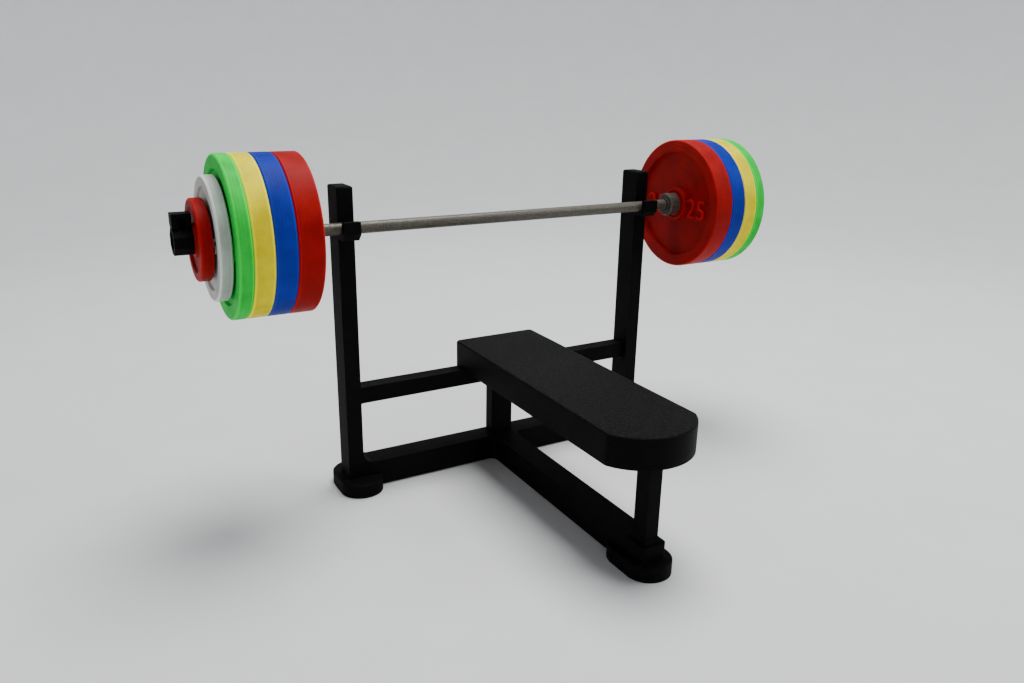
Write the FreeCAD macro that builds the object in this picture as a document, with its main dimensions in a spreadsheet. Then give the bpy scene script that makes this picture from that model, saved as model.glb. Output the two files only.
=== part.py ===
import FreeCAD, Part
import os
import re
import Sketcher

from FreeCAD import Placement, Rotation, Vector

# Olympic bench press, a desk-size model at one tenth: a press bench with a loaded bar.
# X runs along the bar, -Y along the bench from the uprights to its foot end, +Z is up.
# The origin is on the floor, in the middle of the whole model's footprint.
# The rack plane is the vertical plane through the middle of both uprights.

doc = FreeCAD.newDocument("BenchPress")

SIZES = [
    ("upright_pitch", 109.2, "between the centre lines of the uprights"),
    ("upright_width", 5.0, "upright, along X"),
    ("upright_depth", 8.0, "upright, along Y"),
    ("upright_height", 98.1, "top of the uprights above the floor"),
    ("beam_depth", 8.0, "base crossbeam, along Y"),
    ("beam_height", 8.5, "base crossbeam and spine, along Z"),
    ("beam_cove", 3.4, "rounded inside corner between crossbeam and upright"),
    ("spine_width", 8.0, "spine, along X"),
    ("spine_inset", 4.6, "front end of the spine, back from the pad's foot end"),
    ("spine_round", 1.2, "rounding of the spine's front corners"),
    ("spine_cove", 2.0, "rounded inside corner between spine and crossbeam"),
    ("crossbar_depth", 5.2, "upper crossbar, along Y"),
    ("crossbar_height", 5.4, "upper crossbar, along Z"),
    ("crossbar_top", 34.4, "top of the upper crossbar, which carries the pad"),
    ("crossbar_front", 1.9, "front of the upper crossbar and rear post, ahead of the rack plane"),
    ("crossbar_cove", 1.0, "rounded inside corner under the crossbar at the uprights"),
    ("post_width", 8.0, "rear post, along X"),
    ("post_depth", 4.2, "rear post, along Y"),
    ("post_cove", 2.0, "rounded inside corner between rear post and crossbar"),
    ("prop_width", 4.2, "front post, along X"),
    ("prop_depth", 5.5, "front post, along Y"),
    ("prop_inset", 6.4, "front of the front post, back from the pad's foot end"),
    ("prop_flare", 1.5, "radius of the front post's flared ends"),
    ("foot_width", 13.7, "feet, along X"),
    ("foot_length", 20.8, "feet, along Y"),
    ("foot_height", 4.4, "feet, along Z"),
    ("foot_front_inset", 0.8, "end of the front foot, back from the pad's foot end"),
    ("foot_inset", 1.6, "rear feet, inward of the uprights' centre lines"),
    ("foot_break", 0.4, "broken top edges of the feet and uprights"),
    ("foot_sole", 0.4, "thickness left under the members in a foot's socket"),
    ("tenon_length", 3.0, "depth of every tenon"),
    ("heavy_shoulder", 2.0, "shoulder round the tenons of the crossbeam and spine"),
    ("light_shoulder", 1.2, "shoulder round the tenons of the posts and crossbar"),
    ("fit_gap", 0.1, "clearance on each side of a tenon, peg or socket"),
    ("cove_land", 0.1, "thin end of a rounded inside corner"),
    ("pad_width", 30.0, "bench pad, along X"),
    ("pad_head", 4.5, "head end of the pad, behind the rack plane"),
    ("pad_reach", 92.2, "foot end of the pad, ahead of the rack plane"),
    ("pad_thickness", 8.9, "bench pad, along Z"),
    ("pad_bulge", 9.4, "depth of the arc at the pad's foot end"),
    ("pad_foot_round", 2.2, "plan rounding where that arc meets the sides"),
    ("pad_head_round", 1.6, "plan rounding of the pad's head end"),
    ("pad_edge", 0.7, "rounding of the pad's top edge"),
    ("pad_peg", 2.2, "diameter of the pegs under the pad"),
    ("pad_peg_pitch", 19.0, "between the pegs under the pad"),
    ("bar_diameter", 3.6, "shaft of the bar"),
    ("bar_height", 86.2, "bar axis above the floor"),
    ("bar_gap", 0.1, "between the resting bar and the hooks or uprights"),
    ("hook_lip", 2.4, "thickness of a hook's front lip"),
    ("hook_rise", 2.3, "top of the lip above the bar axis"),
    ("hook_drop", 3.3, "underside of a hook below the bar axis"),
    ("hook_chamfer", 2.0, "slope under a hook's front edge"),
    ("hook_peg", 2.4, "height and width of the peg that holds a hook"),
    ("hook_sliver", 0.6, "thin top of the cradle cut away, below the bar axis"),
    ("sleeve_clear", 6.5, "between a sleeve and the upright beside it"),
    ("flange_diameter", 7.9, "sleeve flange"),
    ("flange_thickness", 4.2, "sleeve flange"),
    ("boss_diameter", 4.8, "step on the inboard face of the flange"),
    ("boss_thickness", 0.4, "step on the inboard face of the flange"),
    ("rim_break", 0.35, "broken edges of the flange and plates"),
    ("sleeve_diameter", 5.0, "sleeve that carries the plates"),
    ("sleeve_length", 33.9, "sleeve, outboard of its flange"),
    ("journal_diameter", 2.8, "shaft inside a sleeve"),
    ("journal_short", 5.3, "end of the journal, inside the end of its sleeve"),
    ("bead_rise", 0.25, "bead round the journal that holds the sleeve"),
    ("bead_length", 1.2, "bead, along the bar"),
    ("end_gap", 0.2, "play of a sleeve along the bar"),
    ("running_gap", 0.08, "radial clearance where one piece turns or slides on another"),
    ("plate_gap", 0.1, "between neighbouring plates"),
    ("plate_diameter", 45.0, "25, 20, 15 and 10 plates"),
    ("white_diameter", 34.0, "5 plate"),
    ("small_diameter", 22.4, "2.5 plate"),
    ("red_thickness", 7.1, "25 plate"),
    ("blue_thickness", 5.8, "20 plate"),
    ("yellow_thickness", 5.4, "15 plate"),
    ("green_thickness", 3.8, "10 plate"),
    ("white_thickness", 3.4, "5 plate"),
    ("small_thickness", 3.4, "2.5 plate"),
    ("rim_width", 3.9, "rim of the full-size plates"),
    ("white_rim", 2.9, "rim of the 5 plate"),
    ("small_rim", 2.3, "rim of the 2.5 plate"),
    ("hub_diameter", 11.6, "hub of the plates"),
    ("small_hub", 8.8, "hub of the 2.5 plate"),
    ("hub_ring", 0.9, "raised ring round a hub"),
    ("hub_groove", 0.7, "groove inside the ring"),
    ("groove_depth", 0.6, "depth of the groove inside the ring"),
    ("recess_share", 0.21, "depth of a face's recess, as a share of the plate's thickness"),
    ("recess_draft", 0.4, "slope of the recess walls"),
    ("collar_width", 5.0, "clamp collar, along the bar"),
    ("collar_flats", 7.1, "clamp collar, across its flats"),
    ("ear_width", 1.6, "ear on the ring that carries the lever"),
    ("ear_gap", 0.1, "between the lever and the ear"),
    ("knuckle_radius", 1.2, "ear and lever round the pin"),
    ("pin_stub", 0.9, "pin, on each side of the ear"),
    ("pivot_back", 1.0, "lever pin behind the bar axis"),
    ("pivot_rise", 1.35, "lever pin above the ring's top flat"),
    ("pivot_pin", 0.9, "diameter of the lever's pin"),
    ("pin_gap", 0.05, "clearance of the lever on its pin"),
    ("lever_depth", 4.4, "lever, along Y"),
    ("lever_top", 7.5, "top of the lever above the bar axis"),
]

PLACES = [
    ("half_pitch", "upright_pitch / 2"),
    ("inner_face", "half_pitch - upright_width / 2"),
    ("spine_reach", "pad_reach - spine_inset"),
    ("prop_reach", "pad_reach - prop_inset"),
    ("beam_top", "foot_sole + beam_height"),
    ("crossbar_bottom", "crossbar_top - crossbar_height"),
    ("cradle_radius", "bar_diameter / 2 + bar_gap"),
    ("bar_reach", "upright_depth / 2 + cradle_radius"),
    ("rack_y", "(pad_reach - plate_diameter / 2 + bar_reach) / 2"),
    ("bar_y", "rack_y - bar_reach"),
    ("prop_y", "rack_y - prop_reach + prop_depth / 2"),
    ("boss_half", "half_pitch + upright_width / 2 + sleeve_clear"),
    ("seat_half", "boss_half + boss_thickness + flange_thickness"),
    ("sleeve_half", "seat_half + sleeve_length"),
    ("journal_half", "sleeve_half - journal_short"),
    ("red_half", "seat_half + plate_gap"),
    ("blue_half", "red_half + red_thickness + plate_gap"),
    ("yellow_half", "blue_half + blue_thickness + plate_gap"),
    ("green_half", "yellow_half + yellow_thickness + plate_gap"),
    ("white_half", "green_half + green_thickness + plate_gap"),
    ("small_half", "white_half + white_thickness + plate_gap"),
    ("collar_half", "small_half + small_thickness + plate_gap"),
    ("ring_bore", "sleeve_diameter / 2 + running_gap"),
    ("pivot_y", "bar_y + pivot_back"),
    ("pivot_z", "bar_height + collar_flats / 2 + pivot_rise"),
]

COLUMN = {}


def formula(words):
    """Turns the plain names in a formula into references to the two sheets."""
    def named(word):
        sheet = COLUMN.get(word.group())
        return sheet + "." + word.group() if sheet else word.group()

    return re.sub(r"[a-z][a-z_]+", named, words)


def fill_sheets():
    sizes = doc.addObject("Spreadsheet::Sheet", "Sizes")
    for row, (alias, value, meaning) in enumerate(SIZES, 1):
        sizes.set(f"A{row}", alias)
        sizes.set(f"B{row}", str(value))
        sizes.set(f"C{row}", meaning)
        sizes.setAlias(f"B{row}", alias)
        COLUMN[alias] = "Sizes"
    doc.recompute()
    places = doc.addObject("Spreadsheet::Sheet", "Places")
    for row, (alias, words) in enumerate(PLACES, 1):
        places.set(f"A{row}", alias)
        places.set(f"B{row}", "=" + formula(words).replace("Places.", ""))
        places.setAlias(f"B{row}", alias)
        COLUMN[alias] = "Places"
    doc.recompute()
    return sizes, places


sizes_sheet, places_sheet = fill_sheets()

ALONG_X = Rotation(Vector(0, 1, 0), 90)
ALONG_Y = Rotation(Vector(1, 0, 0), -90)
ALONG_Z = Rotation()
TURNED_ROUND = Rotation(Vector(0, 0, 1), 180)
TURNS = {"x": ALONG_X, "y": ALONG_Y, "z": ALONG_Z}
SIDES = (("left", -1), ("right", 1))


def bind(thing, **sizes):
    for name, words in sizes.items():
        thing.setExpression(name, formula(words))


def place(thing, x, y, z, turn=ALONG_Z):
    thing.Placement = Placement(Vector(), turn)
    for axis, words in zip("xyz", (x, y, z)):
        thing.setExpression("Placement.Base." + axis, formula(words))
    return thing


def block(name, x, y, z, length, width, height):
    """A box from its lowest corner."""
    thing = doc.addObject("Part::Box", name)
    bind(thing, Length=length, Width=width, Height=height)
    return place(thing, x, y, z)


def middle_block(name, x, y, z, length, width, height):
    """A box centred on x and y, standing on z."""
    return block(name, f"{x} - ({length}) / 2", f"{y} - ({width}) / 2", z, length, width, height)


def rod(name, turn, x, y, z, radius, length):
    thing = doc.addObject("Part::Cylinder", name)
    bind(thing, Radius=radius, Height=length)
    return place(thing, x, y, z, turn)


def fuse(name, *things):
    thing = doc.addObject("Part::MultiFuse", name)
    thing.Shapes = list(things)
    thing.Refine = True
    return thing


def cut(name, base, *tools):
    thing = doc.addObject("Part::Cut", name)
    thing.Base = base
    thing.Tool = tools[0] if len(tools) == 1 else fuse(name + "_tools", *tools)
    thing.Refine = True
    return thing


def sketch_on(body, plane, name):
    """A sketch on one of the body's own planes."""
    sketch = body.newObject("Sketcher::SketchObject", name)
    flat = [part for part in body.Origin.OriginFeatures if part.Role == plane][0]
    sketch.AttachmentSupport = [(flat, "")]
    sketch.MapMode = "FlatFace"
    return sketch


def outline(body, plane, name, corners):
    """A closed outline of straight lines whose corners are formulas."""
    sketch = sketch_on(body, plane, name)
    count = len(corners)
    start = [Vector(step, step % 3, 0) for step in range(count)]
    for step in range(count):
        sketch.addGeometry(Part.LineSegment(start[step], start[(step + 1) % count]))
    for step in range(count):
        sketch.addConstraint(Sketcher.Constraint("Coincident", step, 2, (step + 1) % count, 1))
    for step, pair in enumerate(corners):
        for kind, words in zip(("DistanceX", "DistanceY"), pair):
            index = sketch.addConstraint(Sketcher.Constraint(kind, -1, 1, step, 1, 1.0 + step))
            sketch.setExpression(f"Constraints[{index}]", formula(words))
    return sketch


def prism(body, plane, name, corners, length):
    """A pad of an outline, away from its plane."""
    pad = body.newObject("PartDesign::Pad", name)
    pad.Profile = outline(body, plane, name + "_outline", corners)
    bind(pad, Length=length)
    doc.recompute()
    return pad


def rectangle(low_x, low_y, high_x, high_y):
    return [(low_x, low_y), (high_x, low_y), (high_x, high_y), (low_x, high_y)]


def lathe(name, corners):
    """A body turned about X from its axial and radial corners."""
    body = doc.addObject("PartDesign::Body", name)
    turning = body.newObject("PartDesign::Revolution", name + "_turning")
    turning.Profile = outline(body, "XY_Plane", name + "_section", corners)
    turning.ReferenceAxis = (turning.Profile[0], ["H_Axis"])
    turning.Angle = 360
    doc.recompute()
    return body


def edges_where(feature, chosen):
    doc.recompute()
    found = []
    for number, edge in enumerate(feature.Shape.Edges, 1):
        box = edge.BoundBox
        if chosen(box, feature.Shape.BoundBox):
            found.append(f"Edge{number}")
    return found


def on_top(box, whole):
    return box.ZMin > whole.ZMax - whole.ZLength / 100


def dress(body, kind, name, feature, chosen, **sizes):
    """A fillet or chamfer on the chosen edges of a feature."""
    dressing = body.newObject("PartDesign::" + kind, name)
    dressing.Base = (feature, edges_where(feature, chosen))
    bind(dressing, **sizes)
    doc.recompute()
    return dressing


def cove(name, run, corner, radius, length, toward):
    """A rounded inside corner: a square bar at the corner, less a round one beside it."""
    side = f"({radius} + cove_land)"
    spans = {"x": side, "y": side, "z": side}
    spans[run] = length
    low = {}
    centre = {}
    for axis in "xyz":
        if axis == run:
            low[axis] = corner[axis]
            centre[axis] = corner[axis]
        elif toward[axis] > 0:
            low[axis] = corner[axis]
            centre[axis] = f"{corner[axis]} + {side}"
        else:
            low[axis] = f"{corner[axis]} - {side}"
            centre[axis] = low[axis]
    bar = block(name + "_bar", low["x"], low["y"], low["z"], spans["x"], spans["y"], spans["z"])
    scoop = rod(name + "_scoop", TURNS[run], centre["x"], centre["y"], centre["z"], radius, length)
    return cut(name, bar, scoop)


def at(x, y, z):
    return {"x": x, "y": y, "z": z}


def tenon_size(size, shoulder):
    return f"({size} - 2 * {shoulder})"


def socket_size(size, shoulder):
    return f"({size} - 2 * {shoulder} + 2 * fit_gap)"


def upright(side, sign):
    """One upright, with mortises for the crossbeam, the crossbar and its hook's peg."""
    stock = doc.addObject("PartDesign::Body", f"upright_{side}_stock")
    bar = prism(stock, "XY_Plane", f"upright_{side}_bar",
                rectangle("-upright_width / 2", "-upright_depth / 2", "upright_width / 2", "upright_depth / 2"),
                "upright_height - foot_sole")
    dress(stock, "Chamfer", f"upright_{side}_top", bar, on_top, Size="foot_break")
    place(stock, f"{sign} * half_pitch", "rack_y", "foot_sole")
    deep = "(tenon_length + fit_gap)"
    middle = f"{sign} * (inner_face + {deep} / 2)"
    beam = middle_block(f"upright_{side}_beam_mortise", middle, "rack_y",
                        "foot_sole + heavy_shoulder - fit_gap", deep,
                        socket_size("beam_depth", "heavy_shoulder"),
                        socket_size("beam_height", "heavy_shoulder"))
    crossbar = middle_block(f"upright_{side}_bar_mortise", middle, "rack_y + crossbar_depth / 2 - crossbar_front",
                            "crossbar_bottom + light_shoulder - fit_gap", deep,
                            socket_size("crossbar_depth", "light_shoulder"),
                            socket_size("crossbar_height", "light_shoulder"))
    peg = middle_block(f"upright_{side}_peg_mortise", f"{sign} * half_pitch",
                       f"rack_y - upright_depth / 2 + {deep} / 2",
                       "bar_height - hook_drop - fit_gap", "hook_peg + 2 * fit_gap", deep,
                       "hook_peg + 2 * fit_gap")
    return cut(f"upright_{side}", stock, beam, crossbar, peg)


def base_crossbeam():
    stock = middle_block("crossbeam_stock", "0", "rack_y", "foot_sole",
                         "2 * inner_face", "beam_depth", "beam_height")
    pieces = [stock]
    for side, sign in SIDES:
        pieces.append(middle_block(f"crossbeam_{side}_tenon", f"{sign} * (inner_face + tenon_length / 2)",
                                   "rack_y", "foot_sole + heavy_shoulder", "tenon_length",
                                   tenon_size("beam_depth", "heavy_shoulder"),
                                   tenon_size("beam_height", "heavy_shoulder")))
        corner = at(f"{sign} * inner_face", "rack_y - beam_depth / 2", "beam_top")
        pieces.append(cove(f"crossbeam_{side}_cove", "y", corner, "beam_cove", "beam_depth",
                           {"x": -sign, "z": 1}))
    post = middle_block("crossbeam_post_mortise", "0", "rack_y - crossbar_front + post_depth / 2",
                        "beam_top - tenon_length - fit_gap", socket_size("post_width", "light_shoulder"),
                        socket_size("post_depth", "light_shoulder"), "tenon_length + fit_gap")
    spine = middle_block("crossbeam_spine_mortise", "0",
                         "rack_y - beam_depth / 2 + (tenon_length + fit_gap) / 2",
                         "foot_sole + heavy_shoulder - fit_gap",
                         socket_size("spine_width", "heavy_shoulder"), "tenon_length + fit_gap",
                         socket_size("beam_height", "heavy_shoulder"))
    return cut("base_crossbeam", fuse("crossbeam_whole", *pieces), post, spine)


def upper_crossbar():
    centre = "(rack_y + crossbar_depth / 2 - crossbar_front)"
    pieces = [middle_block("crossbar_stock", "0", centre, "crossbar_bottom",
                           "2 * inner_face", "crossbar_depth", "crossbar_height")]
    pegs = []
    for side, sign in SIDES:
        pieces.append(middle_block(f"crossbar_{side}_tenon", f"{sign} * (inner_face + tenon_length / 2)",
                                   centre, "crossbar_bottom + light_shoulder", "tenon_length",
                                   tenon_size("crossbar_depth", "light_shoulder"),
                                   tenon_size("crossbar_height", "light_shoulder")))
        corner = at(f"{sign} * inner_face", "rack_y - crossbar_front", "crossbar_bottom")
        pieces.append(cove(f"crossbar_{side}_cove", "y", corner, "crossbar_cove", "crossbar_depth",
                           {"x": -sign, "z": -1}))
        pegs.append(rod(f"crossbar_{side}_peg_hole", ALONG_Z, f"{sign} * pad_peg_pitch / 2", centre,
                        "crossbar_top - tenon_length - fit_gap", "pad_peg / 2 + fit_gap",
                        "tenon_length + fit_gap"))
    post = middle_block("crossbar_post_mortise", "0", "rack_y - crossbar_front + post_depth / 2",
                        "crossbar_bottom", socket_size("post_width", "light_shoulder"),
                        socket_size("post_depth", "light_shoulder"), "tenon_length + fit_gap")
    return cut("upper_crossbar", fuse("crossbar_whole", *pieces), post, *pegs)


def rear_post():
    centre = "(rack_y - crossbar_front + post_depth / 2)"
    wide = tenon_size("post_width", "light_shoulder")
    deep = tenon_size("post_depth", "light_shoulder")
    tall = "(crossbar_bottom - beam_top)"
    pieces = [
        middle_block("rear_post_stock", "0", centre, "beam_top", "post_width", "post_depth", tall),
        middle_block("rear_post_tenons", "0", centre, "beam_top - tenon_length", wide, deep,
                     tall + " + 2 * tenon_length"),
    ]
    for side, sign in SIDES:
        corner = at(f"{sign} * post_width / 2", "rack_y - crossbar_front", "crossbar_bottom")
        pieces.append(cove(f"rear_post_{side}_cove", "y", corner, "post_cove", "post_depth",
                           {"x": sign, "z": -1}))
    return fuse("rear_post", *pieces)


def spine_bar(name, gap):
    """The spine's long bar with rounded front corners, or a tool that cuts a socket for it."""
    body = doc.addObject("PartDesign::Body", name)
    length = f"spine_reach - beam_depth / 2 + {gap}"
    bar = prism(body, "XY_Plane", name + "_bar",
                rectangle(f"-spine_width / 2 - {gap}", "0", f"spine_width / 2 + {gap}", length), "beam_height")

    def front_corner(box, whole):
        return box.ZLength > whole.ZLength / 2 and box.YMax < whole.Center.y

    dress(body, "Fillet", name + "_corners", bar, front_corner, Radius=f"spine_round + {gap}")
    return place(body, "0", f"rack_y - spine_reach - {gap}", "foot_sole")


def spine_beam():
    pieces = [spine_bar("spine_stock", "0"),
              middle_block("spine_tenon", "0", "rack_y - beam_depth / 2 + tenon_length / 2",
                           "foot_sole + heavy_shoulder", tenon_size("spine_width", "heavy_shoulder"),
                           "tenon_length", tenon_size("beam_height", "heavy_shoulder"))]
    for side, sign in SIDES:
        corner = at(f"{sign} * spine_width / 2", "rack_y - beam_depth / 2", "foot_sole")
        pieces.append(cove(f"spine_{side}_cove", "z", corner, "spine_cove", "beam_height",
                           {"x": sign, "y": -1}))
    prop = middle_block("spine_prop_mortise", "0", "prop_y", "beam_top - tenon_length - fit_gap",
                        socket_size("prop_width", "light_shoulder"),
                        socket_size("prop_depth", "light_shoulder"), "tenon_length + fit_gap")
    return cut("spine_beam", fuse("spine_whole", *pieces), prop)


def flare(name, low, scoop_height):
    """A block round the front post, scooped out along its four sides."""
    wide = "(prop_width + 2 * prop_flare)"
    deep = "(prop_depth + 2 * prop_flare)"
    stock = middle_block(name + "_stock", "0", "prop_y", low, wide, deep, "prop_flare")
    scoops = []
    for number, sign in enumerate((-1, 1)):
        scoops.append(rod(f"{name}_side_{number}", ALONG_Y, f"{sign} * {wide} / 2", f"prop_y - {deep} / 2",
                          scoop_height, "prop_flare - cove_land", deep))
        scoops.append(rod(f"{name}_end_{number}", ALONG_X, f"-1 * {wide} / 2", f"prop_y + {sign} * {deep} / 2",
                          scoop_height, "prop_flare - cove_land", wide))
    return cut(name, stock, *scoops)


def front_post():
    """The post under the pad's foot end, flared at both ends, with a tenon up and one down."""
    tall = "(crossbar_top - beam_top)"
    return fuse(
        "front_post",
        middle_block("front_post_stock", "0", "prop_y", "beam_top", "prop_width", "prop_depth", tall),
        middle_block("front_post_tenons", "0", "prop_y", "beam_top - tenon_length",
                     tenon_size("prop_width", "light_shoulder"), tenon_size("prop_depth", "light_shoulder"),
                     tall + " + 2 * tenon_length"),
        flare("front_post_lower", "beam_top", "beam_top + prop_flare"),
        flare("front_post_upper", "crossbar_top - prop_flare", "crossbar_top - prop_flare"))


def foot(name, x, y, socket):
    """A long round-ended shoe with a socket for the members that stand in it."""
    body = doc.addObject("PartDesign::Body", name + "_stock")
    bar = prism(body, "XY_Plane", name + "_bar",
                rectangle("-foot_width / 2", "-foot_length / 2", "foot_width / 2", "foot_length / 2"),
                "foot_height")

    def upright_edge(box, whole):
        return box.ZLength > whole.ZLength / 2

    round_ends = dress(body, "Fillet", name + "_ends", bar, upright_edge, Radius="foot_width / 2 - cove_land")
    dress(body, "Chamfer", name + "_top", round_ends, on_top, Size="foot_break")
    return cut(name, place(body, x, y, "0"), socket)


def feet():
    made = []
    for side, sign in SIDES:
        socket = middle_block(f"foot_rear_{side}_socket",
                              f"{sign} * ((half_pitch + upright_width / 2 + fit_gap) - foot_width / 2)", "rack_y",
                              "foot_sole", "foot_width", "beam_depth + 2 * fit_gap", "beam_height")
        made.append(foot(f"foot_rear_{side}", f"{sign} * (half_pitch - foot_inset)", "rack_y", socket))
    made.append(foot("foot_front", "0", "rack_y - pad_reach + foot_front_inset + foot_length / 2",
                     spine_bar("foot_front_socket", "fit_gap")))
    return made


def pad_outline(body):
    """Three straight sides and an arc across the foot end."""
    sketch = sketch_on(body, "XY_Plane", "pad_outline")
    half = sizes_sheet.pad_width / 2
    turn = sizes_sheet.pad_bulge - sizes_sheet.pad_reach
    corners = [Vector(-half, turn, 0), Vector(-half, sizes_sheet.pad_head, 0),
               Vector(half, sizes_sheet.pad_head, 0), Vector(half, turn, 0)]
    for start, end in zip(corners, corners[1:]):
        sketch.addGeometry(Part.LineSegment(start, end))
    arc = sketch.addGeometry(Part.Arc(corners[0], Vector(0, -sizes_sheet.pad_reach, 0), corners[3]))
    ends = [(0, 1), (1, 1), (2, 1), (2, 2)]
    places = [("-pad_width / 2", "pad_bulge - pad_reach"), ("-pad_width / 2", "pad_head"),
              ("pad_width / 2", "pad_head"), ("pad_width / 2", "pad_bulge - pad_reach")]
    for first, second in ((0, 1), (1, 2)):
        sketch.addConstraint(Sketcher.Constraint("Coincident", first, 2, second, 1))
    sketch.addConstraint(Sketcher.Constraint("Coincident", arc, 1, 0, 1))
    sketch.addConstraint(Sketcher.Constraint("Coincident", arc, 2, 2, 2))
    for (line, end), corner, pair in zip(ends, corners, places):
        for kind, now, words in zip(("DistanceX", "DistanceY"), corner, pair):
            index = sketch.addConstraint(Sketcher.Constraint(kind, -1, 1, line, end, now))
            sketch.setExpression(f"Constraints[{index}]", formula(words))
    radius = (half ** 2 + sizes_sheet.pad_bulge ** 2) / (2 * sizes_sheet.pad_bulge)
    index = sketch.addConstraint(Sketcher.Constraint("Radius", arc, radius))
    words = "((pad_width / 2) ^ 2 + pad_bulge ^ 2) / (2 * pad_bulge)"
    sketch.setExpression(f"Constraints[{index}]", formula(words))
    return sketch


def bench_pad():
    """The one-piece pad, bulging at its foot end, with two pegs and a mortise underneath."""
    body = doc.addObject("PartDesign::Body", "pad_stock")
    slab = body.newObject("PartDesign::Pad", "pad_slab")
    slab.Profile = pad_outline(body)
    bind(slab, Length="pad_thickness")
    doc.recompute()

    def foot_corner(box, whole):
        return box.ZLength > whole.ZLength / 2 and box.YMax < whole.Center.y

    def head_corner(box, whole):
        return box.ZLength > whole.ZLength / 2 and box.YMin > whole.YMax - whole.YLength / 100

    slab = dress(body, "Fillet", "pad_foot_corners", slab, foot_corner, Radius="pad_foot_round")
    slab = dress(body, "Fillet", "pad_head_corners", slab, head_corner, Radius="pad_head_round")
    dress(body, "Fillet", "pad_top_edges", slab, on_top, Radius="pad_edge")
    pieces = [place(body, "0", "rack_y", "crossbar_top")]
    for side, sign in SIDES:
        pieces.append(rod(f"pad_{side}_peg", ALONG_Z, f"{sign} * pad_peg_pitch / 2",
                          "rack_y + crossbar_depth / 2 - crossbar_front", "crossbar_top - tenon_length",
                          "pad_peg / 2", "tenon_length + cove_land"))
    prop = middle_block("pad_prop_mortise", "0", "prop_y", "crossbar_top",
                        socket_size("prop_width", "light_shoulder"),
                        socket_size("prop_depth", "light_shoulder"), "tenon_length + fit_gap")
    return cut("bench_pad", fuse("pad_whole", *pieces), prop)


def hook(side, sign):
    """A cradle that holds the bar against its upright, with a peg into the upright."""
    body = doc.addObject("PartDesign::Body", f"hook_{side}_stock")
    back = "0"
    front = "-2 * cradle_radius - hook_lip"
    low = "-hook_drop"
    prism(body, "YZ_Plane", f"hook_{side}_block",
          [(back, low), (back, "hook_rise"), (front, "hook_rise"), (front, low + " + hook_chamfer"),
           (front + " + hook_chamfer", low)], "upright_width")
    face = "rack_y - upright_depth / 2"
    left = f"{sign} * half_pitch - upright_width / 2"
    place(body, left, face, "bar_height")
    bore = rod(f"hook_{side}_cradle", ALONG_X, left, "bar_y", "bar_height", "cradle_radius", "upright_width")
    mouth = block(f"hook_{side}_mouth", left, "bar_y - cradle_radius", "bar_height", "upright_width",
                  "2 * cradle_radius", "hook_rise")
    sliver = block(f"hook_{side}_sliver", left, "bar_y", "bar_height - hook_sliver", "upright_width",
                   "cradle_radius", "hook_rise + hook_sliver")
    peg = middle_block(f"hook_{side}_peg", f"{sign} * half_pitch", face + " + tenon_length / 2",
                       "bar_height - hook_drop", "hook_peg", "tenon_length", "hook_peg")
    return fuse(f"hook_{side}", cut(f"hook_{side}_cup", body, bore, mouth, sliver), peg)


def bar_shaft():
    """The shaft: a full-thickness grip with a thinner journal and bead at each end."""
    half = [
        ("journal_half", "0"),
        ("journal_half", "journal_diameter / 2"),
        ("journal_half - bead_length / 2", "journal_diameter / 2 + bead_rise"),
        ("journal_half - bead_length", "journal_diameter / 2"),
        ("boss_half - end_gap", "journal_diameter / 2"),
        ("boss_half - end_gap", "bar_diameter / 2"),
    ]
    mirrored = [(f"-1 * ({x})", radius) for x, radius in reversed(half)]
    return place(lathe("bar_shaft", half + mirrored), "0", "bar_y", "bar_height")


def sleeve(side, turn):
    """A plate sleeve with its flange and a blind bore that turns on the bar's journal."""
    bore = "(journal_diameter / 2 + running_gap)"
    outer = "sleeve_diameter / 2"
    rim = "flange_diameter / 2"
    step = "(boss_half + boss_thickness)"
    body = lathe(f"sleeve_{side}", [
        ("boss_half", bore), ("boss_half", "boss_diameter / 2"), (step, "boss_diameter / 2"),
        (step, rim + " - rim_break"), (step + " + rim_break", rim), ("seat_half - rim_break", rim),
        ("seat_half", rim + " - rim_break"), ("seat_half", outer), ("sleeve_half - rim_break", outer),
        ("sleeve_half", outer + " - rim_break"), ("sleeve_half", "0"),
        ("journal_half + end_gap", "0"), ("journal_half + end_gap", bore),
        ("journal_half - bead_length / 2 + end_gap / 2", bore + " + bead_rise"),
        ("journal_half - bead_length / 2 - end_gap / 2", bore + " + bead_rise"),
        ("journal_half - bead_length - end_gap", bore),
    ])
    return place(body, "0", "bar_y", "bar_height", turn)


PLATES = [
    ("plate_25", "red_half", "red_thickness", "plate_diameter", "rim_width", "hub_diameter", True),
    ("plate_20", "blue_half", "blue_thickness", "plate_diameter", "rim_width", "hub_diameter", True),
    ("plate_15", "yellow_half", "yellow_thickness", "plate_diameter", "rim_width", "hub_diameter", True),
    ("plate_10", "green_half", "green_thickness", "plate_diameter", "rim_width", "hub_diameter", True),
    ("plate_5", "white_half", "white_thickness", "white_diameter", "white_rim", "hub_diameter", True),
    ("plate_2_5", "small_half", "small_thickness", "small_diameter", "small_rim", "small_hub", False),
]


def plate(name, side, sign, half, thick, across, rim, hub, grooved):
    """A weight plate: a rim, a recessed web and a raised hub, the same on both faces."""
    deep = f"({thick} * recess_share)"
    ring = f"({hub} / 2 - hub_ring)"
    face = [("0", "ring_bore")]
    if grooved:
        face += [("0", f"{ring} - hub_groove"), ("groove_depth", f"{ring} - hub_groove"),
                 ("groove_depth", ring), ("0", ring)]
    face += [
        ("0", f"{hub} / 2"),
        (deep, f"{hub} / 2 + recess_draft"),
        (deep, f"{across} / 2 - {rim} - recess_draft"),
        ("0", f"{across} / 2 - {rim}"),
        ("0", f"{across} / 2 - rim_break"),
        ("rim_break", f"{across} / 2"),
    ]
    other = [(f"{thick} - ({x})", radius) for x, radius in reversed(face)]
    body = lathe(f"{name}_{side}", face + other)
    return place(body, f"{sign} * {half}", "bar_y", "bar_height", ALONG_Z if sign > 0 else TURNED_ROUND)


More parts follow.
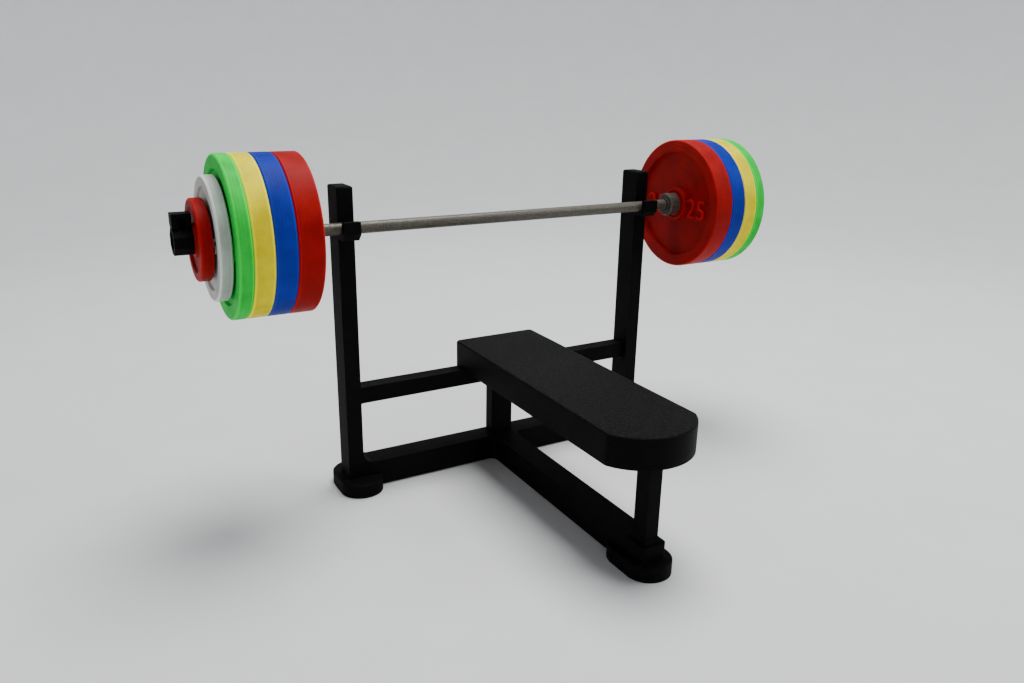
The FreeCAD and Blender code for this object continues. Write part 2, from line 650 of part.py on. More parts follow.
def collar_ring(side, sign):
    """An eight-sided ring that clamps on the sleeve, with an ear and pin for its lever."""
    body = doc.addObject("PartDesign::Body", f"collar_{side}_stock")
    flat = "(collar_flats / 2)"
    half = "(collar_flats / 2 * tan(22.5 deg))"
    corners = [(flat, half), (half, flat), ("-1 * " + half, flat), ("-1 * " + flat, half),
               ("-1 * " + flat, "-1 * " + half), ("-1 * " + half, "-1 * " + flat),
               (half, "-1 * " + flat), (flat, "-1 * " + half)]
    prism(body, "YZ_Plane", f"collar_{side}_prism", corners, "collar_width")
    low = "collar_half" if sign > 0 else "-collar_half - collar_width"
    place(body, low, "bar_y", "bar_height")
    middle = f"({low} + collar_width / 2)"
    ear = block(f"collar_{side}_ear", f"{middle} - ear_width / 2", "pivot_y - knuckle_radius", "bar_height + ring_bore",
                "ear_width", "2 * knuckle_radius", "pivot_z - bar_height - ring_bore")
    knuckle = rod(f"collar_{side}_knuckle", ALONG_X, f"{middle} - ear_width / 2", "pivot_y", "pivot_z",
                  "knuckle_radius", "ear_width")
    pin = rod(f"collar_{side}_pin", ALONG_X, f"{middle} - ear_width / 2 - pin_stub", "pivot_y", "pivot_z",
              "pivot_pin / 2", "ear_width + 2 * pin_stub")
    bore = rod(f"collar_{side}_bore", ALONG_X, low, "bar_y", "bar_height", "ring_bore", "collar_width")
    whole = fuse(f"collar_{side}_whole", body, ear, knuckle, pin)
    return cut(f"collar_{side}", whole, bore)


def lever(side, sign):
    """The clamp's lever: a block over the ring, forked round the ear."""
    body = doc.addObject("PartDesign::Body", f"lever_{side}_stock")
    back = "knuckle_radius"
    front = "knuckle_radius - lever_depth"
    top = "bar_height + lever_top - pivot_z"
    bar = prism(body, "YZ_Plane", f"lever_{side}_block",
                [(front, "-knuckle_radius"), (back, "-knuckle_radius"), (back, top), (front, top)], "collar_width")

    def heel(box, whole):
        low = box.ZMax < whole.ZMin + whole.ZLength / 100
        return low and box.YMin > whole.YMax - whole.YLength / 100

    dress(body, "Fillet", f"lever_{side}_heel", bar, heel, Radius="knuckle_radius - rim_break / 10")
    low = "collar_half" if sign > 0 else "-collar_half - collar_width"
    place(body, low, "pivot_y", "pivot_z")
    middle = f"({low} + collar_width / 2)"
    slot = block(f"lever_{side}_slot", f"{middle} - ear_width / 2 - ear_gap", "pivot_y - lever_depth",
                 "pivot_z - 2 * knuckle_radius", "ear_width + 2 * ear_gap", "2 * lever_depth",
                 "3 * knuckle_radius + ear_gap")
    hole = rod(f"lever_{side}_hole", ALONG_X, f"{middle} - ear_width / 2 - pin_stub - ear_gap", "pivot_y",
               "pivot_z", "pivot_pin / 2 + pin_gap", "ear_width + 2 * pin_stub + 2 * ear_gap")
    return cut(f"lever_{side}", body, slot, hole)


def build():
    nodes = [base_crossbeam(), upper_crossbar(), rear_post(), spine_beam(), front_post(), bench_pad(), bar_shaft()]
    nodes += feet()
    for side, sign in SIDES:
        turn = ALONG_Z if sign > 0 else TURNED_ROUND
        nodes += [upright(side, sign), hook(side, sign), sleeve(side, turn), collar_ring(side, sign),
                  lever(side, sign)]
        nodes += [plate(plan[0], side, sign, *plan[1:]) for plan in PLATES]
    return nodes


def check_and_export(nodes):
    doc.recompute()
    for thing in doc.Objects:
        for fault in ("Invalid", "Error"):
            if fault in thing.State:
                raise RuntimeError(f"{thing.Name} is {fault}")
    os.makedirs("parts", exist_ok=True)
    for node in nodes:
        node.Label = node.Name
        if node.Shape.isNull() or not node.Shape.isValid():
            raise RuntimeError(f"{node.Label} has no sound shape")
        if len(node.Shape.Solids) != 1:
            raise RuntimeError(f"{node.Label} is {len(node.Shape.Solids)} solids")
        node.Shape.exportStep(f"parts/{node.Label}.step")
        box = node.Shape.BoundBox
        print(f"{node.Label}: {node.Shape.Volume:.1f} mm3, X {box.XMin:.2f} to {box.XMax:.2f},"
              f" Y {box.YMin:.2f} to {box.YMax:.2f}, Z {box.ZMin:.2f} to {box.ZMax:.2f}")


check_and_export(build())
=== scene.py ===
import math

import bpy
from mathutils import Euler, Matrix, Vector


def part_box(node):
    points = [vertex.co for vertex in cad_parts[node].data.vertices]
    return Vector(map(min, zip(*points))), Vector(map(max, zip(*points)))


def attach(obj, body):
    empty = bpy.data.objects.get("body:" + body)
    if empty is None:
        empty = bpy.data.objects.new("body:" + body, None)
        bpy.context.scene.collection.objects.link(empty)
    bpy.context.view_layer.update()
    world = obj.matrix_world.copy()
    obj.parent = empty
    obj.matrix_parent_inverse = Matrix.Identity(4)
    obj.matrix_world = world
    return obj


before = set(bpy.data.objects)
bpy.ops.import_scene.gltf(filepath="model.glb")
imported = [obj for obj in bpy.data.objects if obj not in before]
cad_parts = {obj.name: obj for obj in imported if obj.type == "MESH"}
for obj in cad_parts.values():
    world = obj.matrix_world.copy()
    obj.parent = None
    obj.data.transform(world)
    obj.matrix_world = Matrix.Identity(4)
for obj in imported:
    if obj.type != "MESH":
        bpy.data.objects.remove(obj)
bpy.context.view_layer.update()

bl_info = {
    "name": "Model bench press",
    "version": (1, 0, 0),
    "blender": (4, 5, 0),
    "location": "View3D > Sidebar > Bench press",
    "description": "Finishes a desk-size printed bench press model on its CAD frame",
    "category": "Object",
}

MM = 0.001
HUB_RADIUS = 5.8 * MM
SMALL_HUB_RADIUS = 4.4 * MM
# The recess of a plate's face, as a share of its thickness, and a numeral's height as a share of that.
RECESS_SHARE = 0.21
RAISED_SHARE = 0.55
# Added to a numeral's thickness, and half of it sinks into the plate, so that no gap shows under it.
SEATING = 0.05 * MM
# The 5 plates are smaller and carry one digit, so theirs are this share as high and as wide.
SMALL_HEIGHT = 0.6
SMALL_WIDTH = 0.3
# A wave texture repeats every twentieth of a turn, in radians, at scale 1.
WAVE_SPAN = math.tau / 20
# Real layers are 0.2 mm and lines 0.4 mm apart, too fine to show, so they are drawn at this spacing.
LINE_SPACING = 0.9 * MM

FRAME_UPRIGHT = ("upright_left", "upright_right", "hook_left", "hook_right", "base_crossbeam",
                 "upper_crossbar", "rear_post")
FRAME_FLAT = ("spine_beam", "front_post", "foot_rear_left", "foot_rear_right", "foot_front")
SIDES = ("left", "right")
PLATE_COLOURS = {"25": "red", "20": "blue", "15": "yellow", "10": "green", "5": "white", "2_5": "red"}
# How much light passes into each colour of filament: the pale ones let in the most.
GLOW = {"red": 0.06, "blue": 0.06, "yellow": 0.08, "green": 0.1, "white": 0.35}


def linear(hex_code):
    """An sRGB hex colour as the linear values that Blender works in."""
    parts = [int(hex_code[place:place + 2], 16) / 255 for place in (1, 3, 5)]
    return tuple(part / 12.92 if part <= 0.04045 else ((part + 0.055) / 1.055) ** 2.4 for part in parts)


def settings():
    return bpy.context.scene.bench_press


def add(tree, kind, links=(), values=(), **attributes):
    """Adds a node, sets its attributes and input values, and links other nodes' outputs to its inputs."""
    made = tree.nodes.new(kind)
    for name, value in attributes.items():
        setattr(made, name, value)
    for name, value in dict(values).items():
        made.inputs[name].default_value = value
    for name, source in dict(links).items():
        tree.links.new(source, made.inputs[name])
    return made


def new_material(name):
    """An empty node material with a shader, and the point on the piece that its patterns read."""
    material = bpy.data.materials.new(name)
    material.use_nodes = True
    tree = material.node_tree
    tree.nodes.clear()
    shader = tree.nodes.new("ShaderNodeBsdfPrincipled")
    add(tree, "ShaderNodeOutputMaterial", {"Surface": shader.outputs["BSDF"]})
    point = add(tree, "ShaderNodeTexCoord").outputs["Object"]
    return material, tree, shader, point


def tint(tree, shader, factor, dark, light, low=0.3, high=0.7):
    """Colours the shader between two shades as a factor goes from low to high."""
    ramp = add(tree, "ShaderNodeValToRGB", {"Fac": factor})
    ramp.color_ramp.elements[0].position = low
    ramp.color_ramp.elements[1].position = high
    ramp.color_ramp.elements[0].color = (*dark, 1)
    ramp.color_ramp.elements[1].color = (*light, 1)
    tree.links.new(ramp.outputs["Color"], shader.inputs["Base Color"])


def shade(colour, factor):
    return tuple(min(1.0, part * factor) for part in colour)


def layered_pla(name, colour, layer, stacking, gloss, dark=0.85, light=1.12):
    """PLA laid down in layers: satin, with fine parallel ridges on every wall that stands across them."""
    material, tree, shader, point = new_material(name)
    shader.inputs["IOR"].default_value = 1.46
    shader.inputs["Specular IOR Level"].default_value = 0.04
    ridges = add(tree, "ShaderNodeTexWave", {"Vector": point},
                 {"Scale": WAVE_SPAN / layer, "Distortion": 0.15, "Detail": 1.0, "Detail Scale": 2.0},
                 wave_type="BANDS", bands_direction=stacking)
    # Ripples about 1.5 mm long, where the print head shook a little.
    ripple = add(tree, "ShaderNodeTexNoise", {"Vector": point}, {"Scale": 1 / (1.5 * MM), "Detail": 3.0})
    # Grain about 0.25 mm across, from the filament's own dull skin.
    grain = add(tree, "ShaderNodeTexNoise", {"Vector": point}, {"Scale": 1 / (0.25 * MM), "Detail": 2.0})
    blotch = add(tree, "ShaderNodeTexNoise", {"Vector": point}, {"Scale": 1 / (9 * MM), "Detail": 2.0})
    tint(tree, shader, blotch.outputs["Fac"], shade(colour, dark), shade(colour, light))
    rough = add(tree, "ShaderNodeMapRange", {"Value": grain.outputs["Fac"]},
                {"From Min": 0.3, "From Max": 0.7, "To Min": gloss - 0.06, "To Max": gloss + 0.08})
    tree.links.new(rough.outputs["Result"], shader.inputs["Roughness"])
    first = add(tree, "ShaderNodeBump", {"Height": grain.outputs["Fac"]},
                {"Strength": 0.35, "Distance": 0.03 * MM})
    second = add(tree, "ShaderNodeBump", {"Height": ripple.outputs["Fac"], "Normal": first.outputs["Normal"]},
                 {"Strength": 0.3, "Distance": 0.1 * MM})
    third = add(tree, "ShaderNodeBump", {"Height": ridges.outputs["Fac"], "Normal": second.outputs["Normal"]},
                {"Strength": 0.4, "Distance": 0.05 * MM})
    tree.links.new(third.outputs["Normal"], shader.inputs["Normal"])
    return material


def turned_pla(name, colour, node, glow):
    """PLA printed flat in rings: ring lines on the faces, layer lines round the edge, and a painted highlight
    on the corners.
    """
    material, tree, shader, point = new_material(name)
    shader.inputs["IOR"].default_value = 1.46
    shader.inputs["Specular IOR Level"].default_value = 0.06
    low, high = (Vector(corner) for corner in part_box(node))
    moved = add(tree, "ShaderNodeMapping", {"Vector": point}, {"Location": tuple(-(low + high) / 2)})
    rings = add(tree, "ShaderNodeTexWave", {"Vector": moved.outputs["Vector"]},
                {"Scale": WAVE_SPAN / LINE_SPACING, "Distortion": 0.1},
                wave_type="RINGS", rings_direction="X")
    layers = add(tree, "ShaderNodeTexWave", {"Vector": point},
                 {"Scale": WAVE_SPAN / LINE_SPACING, "Distortion": 0.2},
                 wave_type="BANDS", bands_direction="X")
    grain = add(tree, "ShaderNodeTexNoise", {"Vector": point}, {"Scale": 1 / (0.3 * MM), "Detail": 2.0})
    blotch = add(tree, "ShaderNodeTexNoise", {"Vector": point}, {"Scale": 1 / (7 * MM), "Detail": 3.0})
    # Painted highlight: the plate's rim and hub corners are painted paler over about 0.6 mm, where their
    # rounded edges catch the light.
    away = add(tree, "ShaderNodeSeparateXYZ", {"Vector": moved.outputs["Vector"]})
    across = add(tree, "ShaderNodeMath", {0: away.outputs["X"]}, operation="ABSOLUTE")
    flat = add(tree, "ShaderNodeCombineXYZ", {"Y": away.outputs["Y"], "Z": away.outputs["Z"]})
    radius = add(tree, "ShaderNodeVectorMath", {0: flat.outputs["Vector"]}, operation="LENGTH")
    half, rim = (high.x - low.x) / 2, (high.z - low.z) / 2
    hub = SMALL_HUB_RADIUS if node.startswith("plate_2_5") else HUB_RADIUS
    near_face = add(tree, "ShaderNodeMapRange", {"Value": across.outputs[0]},
                    {"From Min": half - 0.7 * MM, "From Max": half - 0.3 * MM})
    near_rim = add(tree, "ShaderNodeMapRange", {"Value": radius.outputs["Value"]},
                   {"From Min": rim - 0.8 * MM, "From Max": rim - 0.3 * MM})
    near_hub = add(tree, "ShaderNodeMapRange", {"Value": radius.outputs["Value"]},
                   {"From Min": hub + 0.1 * MM, "From Max": hub - 0.2 * MM})
    edges = add(tree, "ShaderNodeMath", {0: near_rim.outputs["Result"], 1: near_hub.outputs["Result"]},
                operation="MAXIMUM")
    edge_highlight = add(tree, "ShaderNodeMath", {0: near_face.outputs["Result"], 1: edges.outputs[0]},
               operation="MULTIPLY")
    # The painted highlight on the corners, plus random blotches, pales the colour up to 1.6 times its own.
    highlight_and_blotch = add(tree, "ShaderNodeMath", {0: edge_highlight.outputs[0], 2: blotch.outputs["Fac"]}, {1: 0.6},
                operation="MULTIPLY_ADD")
    tint(tree, shader, highlight_and_blotch.outputs[0], shade(colour, 0.85), shade(colour, 1.6), 0.3, 1.1)
    rough = add(tree, "ShaderNodeMapRange", {"Value": grain.outputs["Fac"]},
                {"From Min": 0.3, "From Max": 0.7, "To Min": 0.46, "To Max": 0.6})
    tree.links.new(rough.outputs["Result"], shader.inputs["Roughness"])
    shader.inputs["Subsurface Weight"].default_value = glow
    shader.inputs["Subsurface Radius"].default_value = (1.0, 0.5, 0.3)
    shader.inputs["Subsurface Scale"].default_value = 1.2 * MM
    first = add(tree, "ShaderNodeBump", {"Height": grain.outputs["Fac"]},
                {"Strength": 0.3, "Distance": 0.03 * MM})
    second = add(tree, "ShaderNodeBump", {"Height": rings.outputs["Fac"], "Normal": first.outputs["Normal"]},
                 {"Strength": 0.35, "Distance": 0.04 * MM})
    third = add(tree, "ShaderNodeBump", {"Height": layers.outputs["Fac"], "Normal": second.outputs["Normal"]},
                {"Strength": 0.45, "Distance": 0.04 * MM})
    tree.links.new(third.outputs["Normal"], shader.inputs["Normal"])
    return material


def flaked_silver_pla(name, colour):
    """Silver-grey PLA with mineral flakes: a gritty skin, mostly dull, with pale and dark specks."""
    material, tree, shader, point = new_material(name)
    shader.inputs["IOR"].default_value = 1.5
    # Flakes about 0.3 mm across.
    flakes = add(tree, "ShaderNodeTexVoronoi", {"Vector": point}, {"Scale": 1 / (0.3 * MM)})
    separate = add(tree, "ShaderNodeSeparateColor", {"Color": flakes.outputs["Color"]})
    tint(tree, shader, separate.outputs["Red"], shade(colour, 0.62), shade(colour, 1.35), 0.1, 0.95)
    rough = add(tree, "ShaderNodeMapRange", {"Value": separate.outputs["Green"]},
                {"To Min": 0.32, "To Max": 0.62})
    tree.links.new(rough.outputs["Result"], shader.inputs["Roughness"])
    shader.inputs["Metallic"].default_value = 0.25
    grit = add(tree, "ShaderNodeTexNoise", {"Vector": point}, {"Scale": 1 / (0.4 * MM), "Detail": 4.0})
    bump = add(tree, "ShaderNodeBump", {"Height": grit.outputs["Fac"]},
               {"Strength": 0.5, "Distance": 0.06 * MM})
    tree.links.new(bump.outputs["Normal"], shader.inputs["Normal"])
    return material


def pebbled_pla(name, colour, top):
    """Black PLA printed face down on a powder-coated plate: a pebbled top with painted glints, over layered
    sides.
    """
    material, tree, shader, point = new_material(name)
    shader.inputs["IOR"].default_value = 1.46
    shader.inputs["Specular IOR Level"].default_value = 0.05
    height = add(tree, "ShaderNodeSeparateXYZ", {"Vector": point})
    on_top = add(tree, "ShaderNodeMapRange", {"Value": height.outputs["Z"]},
                 {"From Min": top - 0.25 * MM, "From Max": top - 0.05 * MM})
    # Pebbles about 0.7 mm across, a little coarser than the real 0.5 mm so that they show.
    pebbles = add(tree, "ShaderNodeTexNoise", {"Vector": point},
                  {"Scale": 1 / (0.7 * MM), "Detail": 3.0, "Roughness": 0.65})
    layers = add(tree, "ShaderNodeTexWave", {"Vector": point},
                 {"Scale": WAVE_SPAN / LINE_SPACING, "Distortion": 0.2},
                 wave_type="BANDS", bands_direction="Z")
    # Painted glints and sheen: on the top, the pebbles are painted paler and darker, and the top as a whole
    # lighter than the sides, where its texture catches the light.
    top_glints = add(tree, "ShaderNodeMix", {"Factor": on_top.outputs["Result"], "B": pebbles.outputs["Fac"]},
                 {"A": 0.42})
    tint(tree, shader, top_glints.outputs["Result"], shade(colour, 0.3), shade(colour, 4.5), 0.4, 0.72)
    relief = add(tree, "ShaderNodeMix", {"Factor": on_top.outputs["Result"], "A": layers.outputs["Fac"],
                                         "B": pebbles.outputs["Fac"]})
    depth = add(tree, "ShaderNodeMapRange", {"Value": on_top.outputs["Result"]},
                {"To Min": 0.04 * MM, "To Max": 0.22 * MM})
    shader.inputs["Roughness"].default_value = 0.58
    bump = add(tree, "ShaderNodeBump",
               {"Height": relief.outputs["Result"], "Distance": depth.outputs["Result"]}, {"Strength": 0.8})
    tree.links.new(bump.outputs["Normal"], shader.inputs["Normal"])
    return material


def paint(node, material):
    """Gives a CAD node its finish."""
    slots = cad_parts[node].material_slots
    if not slots:
        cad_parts[node].data.materials.append(material)
    for place in slots:
        place.material = material


def colour_setting(name, description, hex_code):
    return bpy.props.FloatVectorProperty(name=name, description=description, subtype="COLOR", size=3,
                                         min=0, max=1, default=linear(hex_code))


class BenchPressSettings(bpy.types.PropertyGroup):
    frame_colour: colour_setting("Frame", "Colour of the frame, hooks, feet and clamps", "#0c0c0c")
    pad_colour: colour_setting("Pad", "Colour of the bench pad", "#090909")
    bar_colour: colour_setting("Bar", "Colour of the bar and its sleeves", "#4c483f")
    red: colour_setting("Red", "Colour of the 25 and 2.5 plates", "#8a0f10")
    blue: colour_setting("Blue", "Colour of the 20 plates", "#14288c")
    yellow: colour_setting("Yellow", "Colour of the 15 plates", "#d8c400")
    green: colour_setting("Green", "Colour of the 10 plates", "#00b838")
    white: colour_setting("White", "Colour of the 5 plates", "#b4b9b4")
    layer: bpy.props.FloatProperty(
        name="Layer", description="Spacing of the print lines on the frame and clamps",
        subtype="DISTANCE", unit="LENGTH", min=0.0001, max=0.002, default=LINE_SPACING)
    numeral_height: bpy.props.FloatProperty(
        name="Numeral height", description="Height of the raised numerals on the large plates",
        subtype="DISTANCE", unit="LENGTH", min=0.001, max=0.01, default=6.8 * MM)
    numeral_width: bpy.props.FloatProperty(
        name="Numeral width", description="Width of a pair of numerals on the large plates",
        subtype="DISTANCE", unit="LENGTH", min=0.001, max=0.012, default=9.4 * MM)
    numeral_reach: bpy.props.FloatProperty(
        name="Numeral distance", description="Middle of the numerals from the plate's centre",
        subtype="DISTANCE", unit="LENGTH", min=0.005, max=0.02, default=10.5 * MM)
    numeral_drop: bpy.props.FloatProperty(
        name="Numeral drop", description="Middle of the numerals below the plate's centre",
        subtype="DISTANCE", unit="LENGTH", min=0.0, max=0.005, default=0.9 * MM)


class BENCHPRESS_OT_frame(bpy.types.Operator):
    """Finish the frame, hooks and feet in layered black plastic"""
    bl_idname = "bench_press.frame"
    bl_label = "Finish the frame"

    def execute(self, context):
        colour = tuple(settings().frame_colour)
        standing = layered_pla("Black PLA printed lying down", colour, settings().layer, "Y", 0.64)
        flat = layered_pla("Black PLA printed flat", colour, settings().layer, "Z", 0.64)
        for node in FRAME_UPRIGHT:
            paint(node, standing)
        for node in FRAME_FLAT:
            paint(node, flat)
        return {"FINISHED"}


class BENCHPRESS_OT_pad(bpy.types.Operator):
    """Finish the hard bench pad with its pebbled top"""
    bl_idname = "bench_press.pad"
    bl_label = "Finish the pad"

    def execute(self, context):
        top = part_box("bench_pad")[1][2]
        paint("bench_pad", pebbled_pla("Black PLA with a pebbled top", tuple(settings().pad_colour), top))
        return {"FINISHED"}


class BENCHPRESS_OT_bar(bpy.types.Operator):
    """Finish the bar and its sleeves in flaked silver plastic"""
    bl_idname = "bench_press.bar"
    bl_label = "Finish the bar"

    def execute(self, context):
        silver = flaked_silver_pla("Flaked silver PLA", tuple(settings().bar_colour))
        for node in ("bar_shaft", "sleeve_left", "sleeve_right"):
            paint(node, silver)
        return {"FINISHED"}


def numeral_tree(name):
    """Geometry nodes that set a numeral on both sides of the hub, on both faces of a plate."""
    tree = bpy.data.node_groups.new(name, "GeometryNodeTree")
    tree.interface.new_socket("Geometry", in_out="INPUT", socket_type="NodeSocketGeometry")
    for label, kind in (("Distance from centre", "NodeSocketFloat"), ("Depth", "NodeSocketFloat"),
                        ("Middle", "NodeSocketVector"), ("Finish", "NodeSocketMaterial")):
        tree.interface.new_socket(label, in_out="INPUT", socket_type=kind)
    tree.interface.new_socket("Geometry", in_out="OUTPUT", socket_type="NodeSocketGeometry")
    given = add(tree, "NodeGroupInput").outputs
    span = add(tree, "ShaderNodeMath", {0: given["Distance from centre"]}, {1: 2.0}, operation="MULTIPLY")
    back = add(tree, "ShaderNodeMath", {0: given["Distance from centre"]}, {1: -1.0}, operation="MULTIPLY")
    start = add(tree, "ShaderNodeCombineXYZ", {"X": given["Depth"], "Y": back.outputs[0]})
    step = add(tree, "ShaderNodeCombineXYZ", {"Y": span.outputs[0]})
    line = add(tree, "GeometryNodeMeshLine",
               {"Start Location": start.outputs[0], "Offset": step.outputs[0]}, {"Count": 2})
    pair = add(tree, "GeometryNodeInstanceOnPoints",
               {"Points": line.outputs["Mesh"], "Instance": given["Geometry"]})
    other = add(tree, "GeometryNodeTransform", {"Geometry": pair.outputs["Instances"]},
                {"Rotation": Euler((0, 0, math.pi))})
    both = add(tree, "GeometryNodeJoinGeometry", {"Geometry": pair.outputs["Instances"]})
    tree.links.new(other.outputs["Geometry"], both.inputs["Geometry"])
    placed = add(tree, "GeometryNodeTransform",
                 {"Geometry": both.outputs["Geometry"], "Translation": given["Middle"]})
    real = add(tree, "GeometryNodeRealizeInstances", {"Geometry": placed.outputs["Geometry"]})
    coated = add(tree, "GeometryNodeSetMaterial",
                 {"Geometry": real.outputs["Geometry"], "Material": given["Finish"]})
    add(tree, "NodeGroupOutput", {"Geometry": coated.outputs["Geometry"]})
    return tree


def numeral_mesh(words, width, height, thickness):
    """A solid numeral that stands up along +Z and faces -X, centred on its own origin."""
    curve = bpy.data.curves.new("Numeral", "FONT")
    curve.body = words
    curve.align_x = "CENTER"
    curve.offset = -0.03
    curve.extrude = 0.05
    curve.bevel_depth = 0.03
    curve.bevel_resolution = 2
    curve.resolution_u = 6
    holder = bpy.data.objects.new("Numeral", curve)
    bpy.context.scene.collection.objects.link(holder)
    bpy.context.view_layer.update()
    mesh = bpy.data.meshes.new_from_object(holder.evaluated_get(bpy.context.evaluated_depsgraph_get()))
    bpy.data.objects.remove(holder)
    corners = [vertex.co for vertex in mesh.vertices]
    low = Vector(min(corner[axis] for corner in corners) for axis in range(3))
    high = Vector(max(corner[axis] for corner in corners) for axis in range(3))
    size = high - low
    mesh.transform(Matrix.Translation(-(low + high) / 2))
    mesh.transform(Matrix.Diagonal((width / size.x, height / size.y, thickness / size.z, 1)))
    mesh.transform(Matrix(((0, 0, -1, 0), (-1, 0, 0, 0), (0, 1, 0, 0), (0, 0, 0, 1))))
    return mesh


def stamp_numerals(tree, node, words, width, height, reach, drop, finish):
    """Raised numerals in the recesses of one plate."""
    low, high = (Vector(corner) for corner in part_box(node))
    thickness = high.x - low.x
    recess = thickness * RECESS_SHARE
    raised = recess * RAISED_SHARE
    piece = bpy.data.objects.new(f"{node}_numerals", numeral_mesh(words, width, height, raised + SEATING))
    bpy.context.scene.collection.objects.link(piece)
    modifier = piece.modifiers.new("Numerals", "NODES")
    modifier.node_group = tree
    values = {"Distance from centre": reach, "Depth": -thickness / 2 + recess - raised / 2,
              "Middle": (low + high) / 2 - Vector((0, 0, drop)), "Finish": finish}
    for socket in tree.interface.items_tree:
        if socket.in_out == "INPUT" and socket.name in values:
            modifier[socket.identifier] = values[socket.name]
    bpy.context.view_layer.update()
    mesh = bpy.data.meshes.new_from_object(piece.evaluated_get(bpy.context.evaluated_depsgraph_get()))
    piece.modifiers.clear()
    piece.data = mesh
    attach(piece, node)
    return piece


class BENCHPRESS_OT_plates(bpy.types.Operator):
    """Finish the plates and raise the numerals on them"""
    bl_idname = "bench_press.plates"
    bl_label = "Finish the plates"

    def execute(self, context):
        chosen = settings()
        tree = numeral_tree("Numerals round a hub")
        for side in SIDES:
            for weight, colour in PLATE_COLOURS.items():
                node = f"plate_{weight}_{side}"
                finish = turned_pla(f"{colour.capitalize()} PLA, {weight.replace('_', '.')} {side}",
                                    tuple(getattr(chosen, colour)), node, GLOW[colour])
                paint(node, finish)
                if weight == "2_5":
                    continue
                # The numerals get a paler copy of the plate's finish: a painted highlight for the light their
                # raised strokes catch.
                highlighted = turned_pla(f"{colour.capitalize()} PLA, rubbed numerals, {weight} {side}",
                                    shade(tuple(getattr(chosen, colour)), 1.7), node, GLOW[colour])
                tall, wide = (SMALL_HEIGHT, SMALL_WIDTH) if weight == "5" else (1.0, 1.0)
                stamp_numerals(tree, node, weight, chosen.numeral_width * wide, chosen.numeral_height * tall,
                               chosen.numeral_reach * (1 + tall) / 2, chosen.numeral_drop * tall, highlighted)
        return {"FINISHED"}


class BENCHPRESS_OT_clamps(bpy.types.Operator):
    """Finish the clamp collars and their levers"""
    bl_idname = "bench_press.clamps"
    bl_label = "Finish the clamps"

    def execute(self, context):
        black = layered_pla("Black PLA printed across the bar", tuple(settings().frame_colour),
                            settings().layer, "X", 0.6)
        for side in SIDES:
            paint(f"collar_{side}", black)
            paint(f"lever_{side}", black)
        return {"FINISHED"}


def lamp(name, place, aim, size, power):
    light = bpy.data.lights.new(name, "AREA")
    light.shape = "DISK"
    light.size = size
    light.energy = power
    holder = bpy.data.objects.new(name, light)
    holder.location = place
    holder.rotation_euler = (Vector(aim) - Vector(place)).to_track_quat("-Z", "Y").to_euler()
    bpy.context.scene.collection.objects.link(holder)
    return holder


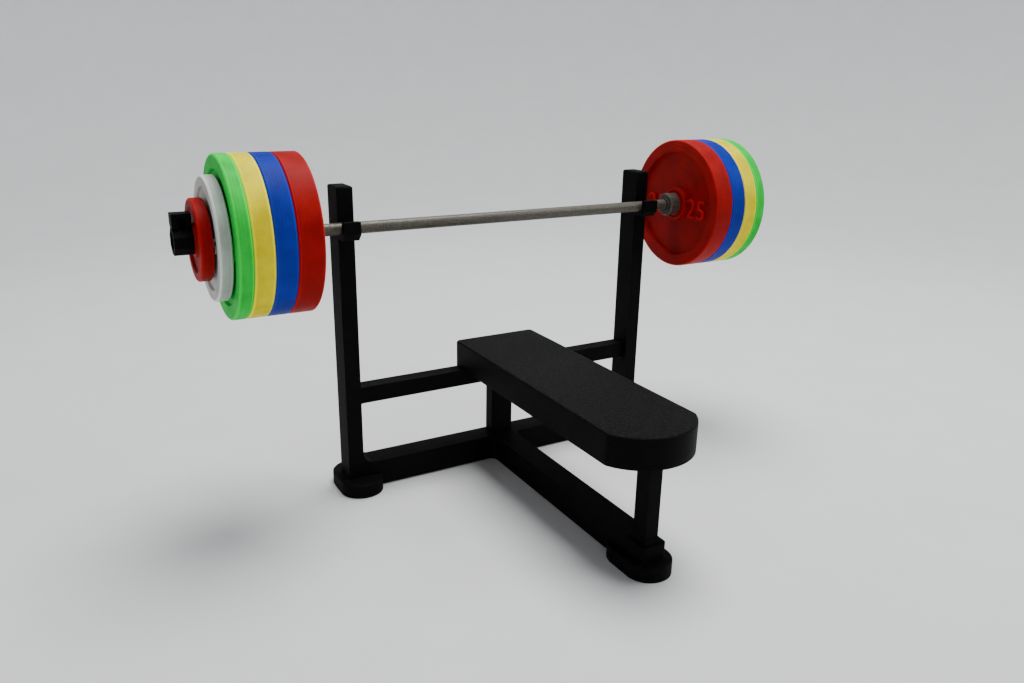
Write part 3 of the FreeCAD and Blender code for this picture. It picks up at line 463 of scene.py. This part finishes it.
class BENCHPRESS_OT_stage(bpy.types.Operator):
    """Set the pale floor, the soft light and the camera"""
    bl_idname = "bench_press.stage"
    bl_label = "Set the stage"

    def execute(self, context):
        scene = bpy.context.scene
        # A wide pale dish: flat under the model, curving up far outside every camera.
        flat, curve, wall = 0.5, 0.5, 1.6
        bends, turns = 12, 96
        profile = [(flat + curve * math.sin(angle), curve - curve * math.cos(angle))
                   for angle in (math.radians(90 * step / bends) for step in range(bends + 1))]
        profile.append((flat + curve, wall))
        points = [(0.0, 0.0, 0.0)]
        for radius, height in profile:
            points += [(radius * math.cos(turn), radius * math.sin(turn), height)
                       for turn in (2 * math.pi * step / turns for step in range(turns))]
        faces = [(0, 1 + step, 1 + (step + 1) % turns) for step in range(turns)]
        for ring in range(len(profile) - 1):
            first = 1 + ring * turns
            for step in range(turns):
                after = (step + 1) % turns
                faces.append((first + step, first + turns + step, first + turns + after, first + after))
        mesh = bpy.data.meshes.new("Floor")
        mesh.from_pydata(points, [], faces)
        mesh.shade_smooth()
        floor = bpy.data.objects.new("Floor", mesh)
        scene.collection.objects.link(floor)
        material, tree, shader, point = new_material("Pale matte paper")
        mottling = add(tree, "ShaderNodeTexNoise", {"Vector": point}, {"Scale": 40.0, "Detail": 2.0})
        tint(tree, shader, mottling.outputs["Fac"], linear("#d3d4d5"), linear("#d6d7d8"))
        shader.inputs["Roughness"].default_value = 0.85
        floor.data.materials.append(material)
        lamp("Tent top", (0.12, 0.1, 0.8), (0, 0.02, 0.05), 0.5, 9.5)
        lamp("Tent side", (0.55, -0.35, 0.55), (0, 0, 0.05), 0.4, 2.0)
        world = bpy.data.worlds.new("Soft room")
        world.use_nodes = True
        world.node_tree.nodes["Background"].inputs["Color"].default_value = (*linear("#e4e7ee"), 1)
        world.node_tree.nodes["Background"].inputs["Strength"].default_value = 0.26
        scene.world = world
        camera = bpy.data.cameras.new("Camera")
        camera.sensor_width = 36
        camera.lens = 28.895
        camera.clip_start = 0.01
        holder = bpy.data.objects.new("Camera", camera)
        yaw, pitch, roll = 0.52649, -0.3125, 0.01794
        turn = Euler((math.pi / 2 + pitch, 0, -yaw)).to_matrix() @ Matrix.Rotation(roll, 3, "Z")
        holder.matrix_world = Matrix.Translation((-0.13239, -0.19831, 0.12937)) @ turn.to_4x4()
        scene.collection.objects.link(holder)
        scene.camera = holder
        return {"FINISHED"}


class BENCHPRESS_PT_panel(bpy.types.Panel):
    """Lists the steps that finish the model"""
    bl_idname = "BENCHPRESS_PT_panel"
    bl_label = "Bench press"
    bl_space_type = "VIEW_3D"
    bl_region_type = "UI"
    bl_category = "Bench press"

    def draw(self, context):
        for name in BenchPressSettings.__annotations__:
            self.layout.prop(context.scene.bench_press, name)
        for step in STEPS:
            self.layout.operator(step.bl_idname)


STEPS = (BENCHPRESS_OT_frame, BENCHPRESS_OT_pad, BENCHPRESS_OT_bar, BENCHPRESS_OT_plates,
         BENCHPRESS_OT_clamps, BENCHPRESS_OT_stage)
CLASSES = (BenchPressSettings, *STEPS, BENCHPRESS_PT_panel)


def register():
    for entry in CLASSES:
        bpy.utils.register_class(entry)
    bpy.types.Scene.bench_press = bpy.props.PointerProperty(type=BenchPressSettings)


def unregister():
    del bpy.types.Scene.bench_press
    for entry in reversed(CLASSES):
        bpy.utils.unregister_class(entry)


def main():
    register()
    bpy.ops.bench_press.frame()
    bpy.ops.bench_press.pad()
    bpy.ops.bench_press.bar()
    bpy.ops.bench_press.plates()
    bpy.ops.bench_press.clamps()
    bpy.ops.bench_press.stage()


if __name__ == "__main__":
    main()
